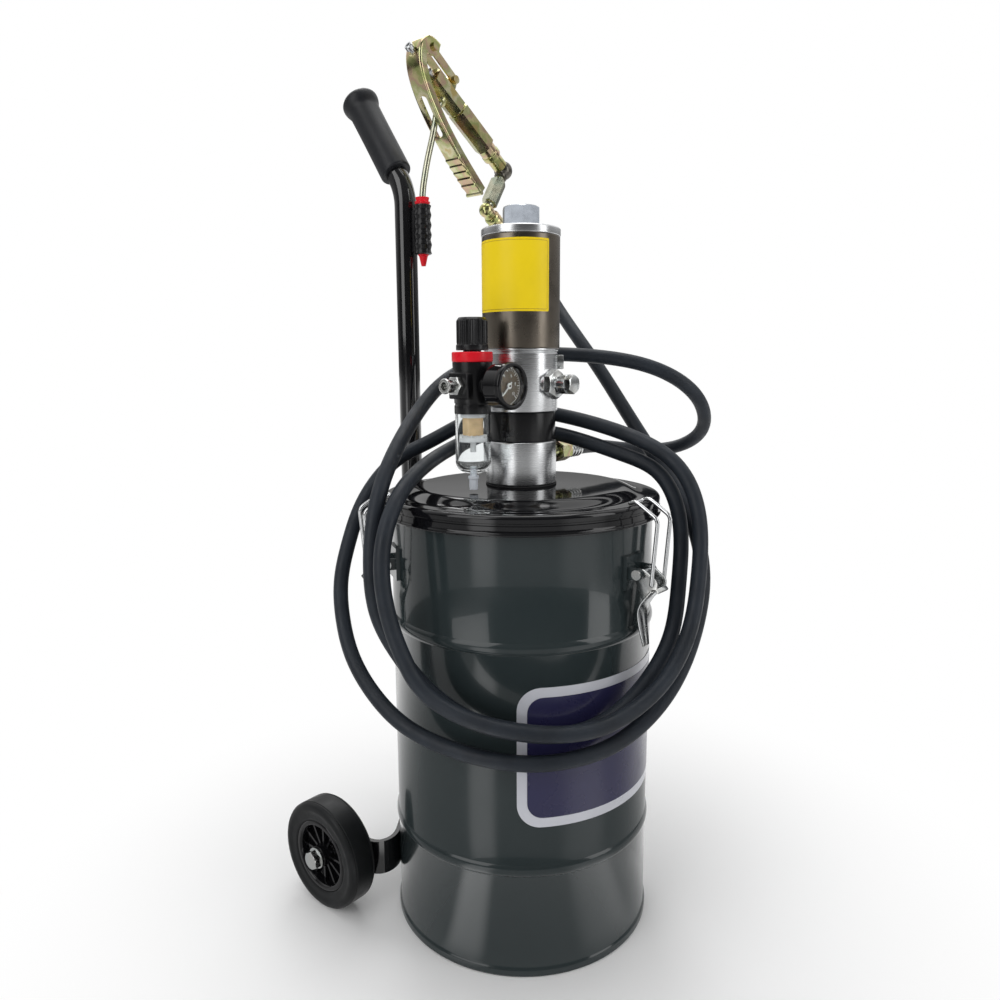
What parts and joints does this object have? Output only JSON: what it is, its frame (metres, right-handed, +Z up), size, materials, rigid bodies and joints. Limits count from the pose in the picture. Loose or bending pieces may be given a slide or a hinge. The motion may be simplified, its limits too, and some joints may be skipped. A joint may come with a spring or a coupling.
{
  "type": "pneumatic grease pump",
  "caption": "Wheeled steel drum with a clamped lid, an air-driven grease pump, a filter regulator with gauge, a long coiled hose and a lever grease gun in a holder.",
  "frame": {"origin": "on the drum axis at floor level", "axes": "+Z up, -Y the front of the drum, +Y the handle and wheel side, X along the wheel axle"},
  "size_m": [0.4458, 0.4609, 0.9785],
  "materials": {
    "drum_paint": "gloss",
    "lid_paint": "gloss",
    "black_paint": "semi-gloss",
    "rubber": "matt",
    "hose_rubber": "matt",
    "grip_rubber": "satin",
    "tyre": "matt",
    "zinc": "satin",
    "wire": "bright",
    "yellow_zinc": "yellow passivated",
    "aluminium": "turned",
    "anodised": "anodised",
    "steel": "satin",
    "brass": "turned",
    "black_plastic": "gloss",
    "red_plastic": "gloss",
    "clear_plastic": "clear",
    "filter_media": "matt",
    "drain_plastic": "gloss",
    "gauge_face": "satin",
    "white_paint": "satin"
  },
  "bodies": {
    "stand": {"drum": "drum_paint", "lid": "lid_paint", "lid_gasket": "rubber", "latch_brackets": "drum_paint", "latch_pins": "zinc", "pump_base": "aluminium", "pump_spacer": "black_plastic", "air_valve_body": "aluminium", "air_cylinder": "anodised", "cylinder_cap": "aluminium", "cap_plug": "zinc", "suction_tube": "steel", "foot_valve": "brass", "air_nipple": "zinc", "regulator_body": "black_plastic", "regulator_ring": "red_plastic", "filter_bowl": "clear_plastic", "filter_element": "filter_media", "gauge_case": "black_plastic", "gauge_dial": "gauge_face", "gauge_lens": "clear_plastic", "inlet_nipple": "zinc", "side_fitting": "zinc", "outlet_fitting": "yellow_zinc", "hose_ferrule_pump": "zinc", "hose": "hose_rubber", "hose_ferrule_gun": "yellow_zinc", "gun_swivel": "zinc", "gun_body": "yellow_zinc", "trigger_pins": "zinc", "trigger_links": "yellow_zinc", "gun_spout": "zinc", "spout_sleeve": "red_plastic", "gun_holder": "black_plastic", "handle_post": "black_paint", "handle_grip": "grip_rubber", "post_brackets": "drum_paint", "wheel_brackets": "black_paint", "axle_bolts": "zinc"},
    "wheel_left": {"tyre_left": "tyre", "hub_left": "black_plastic"},
    "wheel_right": {"tyre_right": "tyre", "hub_right": "black_plastic"},
    "latch_lever_front": {"latch_lever_front": "zinc"},
    "latch_lever_right": {"latch_lever_right": "zinc"},
    "latch_lever_left": {"latch_lever_left": "zinc"},
    "latch_bail_front": {"latch_bail_front": "wire"},
    "latch_bail_right": {"latch_bail_right": "wire"},
    "latch_bail_left": {"latch_bail_left": "wire"},
    "trigger": {"gun_trigger": "yellow_zinc", "adjusting_screw": "zinc"},
    "stem": {"valve_stem": "steel"},
    "knob": {"regulator_knob": "black_plastic"},
    "needle": {"gauge_needle": "white_paint"},
    "drain": {"drain_valve": "drain_plastic"},
    "piston": {"air_piston": "aluminium", "pump_rod": "steel"},
    "follower": {"follower_plate": "black_paint", "follower_wiper": "rubber"},
    "ball": {"check_ball": "steel"}
  },
  "joints": [
    {"name": "wheel_left_spin", "type": "hinge", "parent": "stand", "child": "wheel_left", "pos_m": [-0.158, 0.159, 0.0625], "axis": [1, 0, 0], "continuous": true},
    {"name": "wheel_right_spin", "type": "hinge", "parent": "stand", "child": "wheel_right", "pos_m": [0.158, 0.159, 0.0625], "axis": [1, 0, 0], "continuous": true},
    {"name": "latch_front_open", "type": "hinge", "parent": "stand", "child": "latch_lever_front", "pos_m": [0, -0.1555, 0.415], "axis": [-1, 0, 0], "range_deg": [0, 90]},
    {"name": "latch_front_bail", "type": "hinge", "parent": "latch_lever_front", "child": "latch_bail_front", "pos_m": [0, -0.1705, 0.406], "axis": [-1, 0, 0], "range_deg": [-90, 0]},
    {"name": "latch_right_open", "type": "hinge", "parent": "stand", "child": "latch_lever_right", "pos_m": [0.13467, 0.07775, 0.415], "axis": [0.5, -0.866, 0], "range_deg": [0, 90]},
    {"name": "latch_right_bail", "type": "hinge", "parent": "latch_lever_right", "child": "latch_bail_right", "pos_m": [0.14766, 0.08525, 0.406], "axis": [0.5, -0.866, 0], "range_deg": [-90, 0]},
    {"name": "latch_left_open", "type": "hinge", "parent": "stand", "child": "latch_lever_left", "pos_m": [-0.13467, 0.07775, 0.415], "axis": [0.5, 0.866, 0], "range_deg": [0, 90]},
    {"name": "latch_left_bail", "type": "hinge", "parent": "latch_lever_left", "child": "latch_bail_left", "pos_m": [-0.14766, 0.08525, 0.406], "axis": [0.5, 0.866, 0], "range_deg": [-90, 0]},
    {"name": "trigger_squeeze", "type": "hinge", "parent": "stand", "child": "trigger", "pos_m": [0.01239, 0.144, 0.96778], "axis": [0, -1, 0], "range_deg": [0, 10], "stiffness_Nm_per_rad": 2, "springref_deg": -5.73},
    {"name": "stem_push", "type": "slide", "parent": "stand", "child": "stem", "axis": [0.8425, 0, -0.5388], "range_m": [0, 0.0035]},
    {"name": "knob_turn", "type": "hinge", "parent": "stand", "child": "knob", "pos_m": [-0.078, 0, 0.645], "axis": [0, 0, 1], "range_deg": [0, 720]},
    {"name": "needle_sweep", "type": "hinge", "parent": "stand", "child": "needle", "pos_m": [-0.078, -0.047, 0.598], "axis": [0, 1, 0], "range_deg": [0, 270]},
    {"name": "drain_push", "type": "slide", "parent": "stand", "child": "drain", "axis": [0, 0, 1], "range_m": [0, 0.003]},
    {"name": "piston_stroke", "type": "slide", "parent": "stand", "child": "piston", "axis": [0, 0, 1], "range_m": [0, 0.07]},
    {"name": "follower_travel", "type": "slide", "parent": "stand", "child": "follower", "axis": [0, 0, 1], "range_m": [0, 0.33]},
    {"name": "ball_lift", "type": "slide", "parent": "stand", "child": "ball", "axis": [0, 0, 1], "range_m": [0, 0.006]}
  ],
  "couplings": [
    {"joint": "latch_front_bail", "follows": "latch_front_open", "ratio": -1},
    {"joint": "latch_right_bail", "follows": "latch_right_open", "ratio": -1},
    {"joint": "latch_left_bail", "follows": "latch_left_open", "ratio": -1},
    {"joint": "stem_push", "follows": "trigger_squeeze", "m_per_rad": 0.02}
  ]
}
